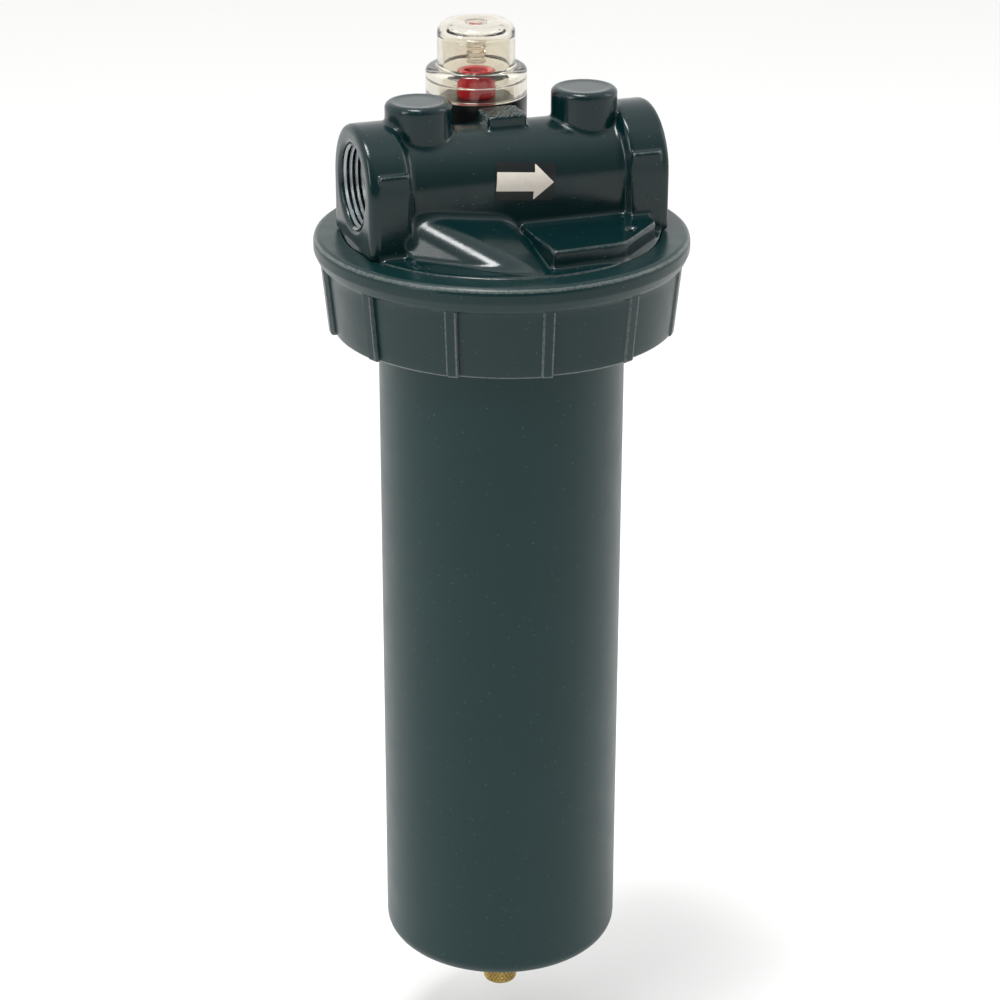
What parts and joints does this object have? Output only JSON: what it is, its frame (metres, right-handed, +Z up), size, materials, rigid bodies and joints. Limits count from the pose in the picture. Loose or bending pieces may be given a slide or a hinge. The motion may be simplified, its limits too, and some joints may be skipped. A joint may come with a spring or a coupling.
{
  "type": "compressed air filter",
  "caption": "Compressed air filter with a cast head and threaded ports, a screwed clamp ring, a long bowl, a knurled drain and a clear pop-up pressure indicator.",
  "frame": {"origin": "crossing of the port axis and the bowl axis", "axes": "+X the direction of flow, towards the outlet port; +Z up along the bowl axis, towards the indicator; -Y the side with the flow label"},
  "size_m": [0.1504, 0.1504, 0.428],
  "materials": {
    "head_paint": "satin black paint on die-cast aluminium",
    "ring_paint": "semi-matt black paint on die-cast aluminium",
    "bowl_paint": "matt black powder coat",
    "label_black": "printed film",
    "arrow_cream": "printed film",
    "zinc_steel": "zinc plated",
    "spring_steel": "drawn wire",
    "seal_rubber": "nitrile rubber",
    "cap_metal": "pressed tinplate",
    "core_metal": "perforated tube",
    "filter_media": "borosilicate fibre",
    "drain_felt": "felt drain layer",
    "indicator_black": "moulded",
    "clear_cover": "clear moulded plastic, slightly smoked",
    "flag_red": "moulded",
    "piston_plastic": "moulded",
    "magnet": "ferrite",
    "slip_nylon": "moulded nylon",
    "brass": "turned and knurled, dull"
  },
  "bodies": {
    "head": {"head_casting": "head_paint", "flow_label": "label_black", "flow_arrow": "arrow_cream", "tie_rod": "zinc_steel", "element_top_gasket": "seal_rubber", "element_top_cap": "cap_metal", "element_core": "core_metal", "element_media": "filter_media", "element_drain_sleeve": "drain_felt", "element_bottom_cap": "cap_metal", "element_bottom_gasket": "seal_rubber", "element_washer": "zinc_steel", "element_nut": "zinc_steel", "indicator_base": "indicator_black", "indicator_base_seal": "seal_rubber", "indicator_cover": "clear_cover", "indicator_cover_seal": "seal_rubber", "piston_retainer": "zinc_steel", "sensing_spring": "spring_steel"},
    "sensing_piston": {"sensing_piston": "piston_plastic", "sensing_magnet": "magnet"},
    "indicator_flag": {"indicator_flag": "flag_red", "flag_magnet": "magnet"},
    "bowl": {"bowl": "bowl_paint", "bowl_flange": "bowl_paint", "bowl_seal": "seal_rubber", "slip_washer": "slip_nylon", "drain_body": "brass", "drain_washer": "slip_nylon", "drain_nut": "brass"},
    "clamp_ring": {"clamp_ring": "ring_paint"},
    "drain_stem": {"drain_stem": "brass"},
    "drain_knob": {"drain_knob": "brass"}
  },
  "joints": [
    {"name": "bowl_travel", "type": "slide", "parent": "head", "child": "bowl", "axis": [0, 0, -1], "range_m": [0, 0.02]},
    {"name": "ring_turn", "type": "hinge", "parent": "bowl", "child": "clamp_ring", "pos_m": [0, 0, -0.04], "axis": [0, 0, -1], "range_deg": [0, 1800]},
    {"name": "drain_open", "type": "slide", "parent": "bowl", "child": "drain_stem", "axis": [0, 0, -1], "range_m": [0, 0.002]},
    {"name": "drain_turn", "type": "hinge", "parent": "drain_stem", "child": "drain_knob", "pos_m": [0, 0, -0.362], "axis": [0, 0, -1], "range_deg": [0, 720]},
    {"name": "piston_travel", "type": "slide", "parent": "head", "child": "sensing_piston", "axis": [0, 0, 1], "range_m": [0, 0.004], "stiffness_N_per_m": 400, "deforming": ["sensing_spring"]},
    {"name": "flag_rise", "type": "slide", "parent": "head", "child": "indicator_flag", "axis": [0, 0, 1], "range_m": [0, 0.009]}
  ],
  "couplings": [
    {"joint": "bowl_travel", "follows": "ring_turn", "m_per_rad": 0.00063662},
    {"joint": "drain_turn", "follows": "drain_open", "rad_per_m": 6283.2},
    {"joint": "flag_rise", "follows": "piston_travel", "ratio": 2.25}
  ]
}
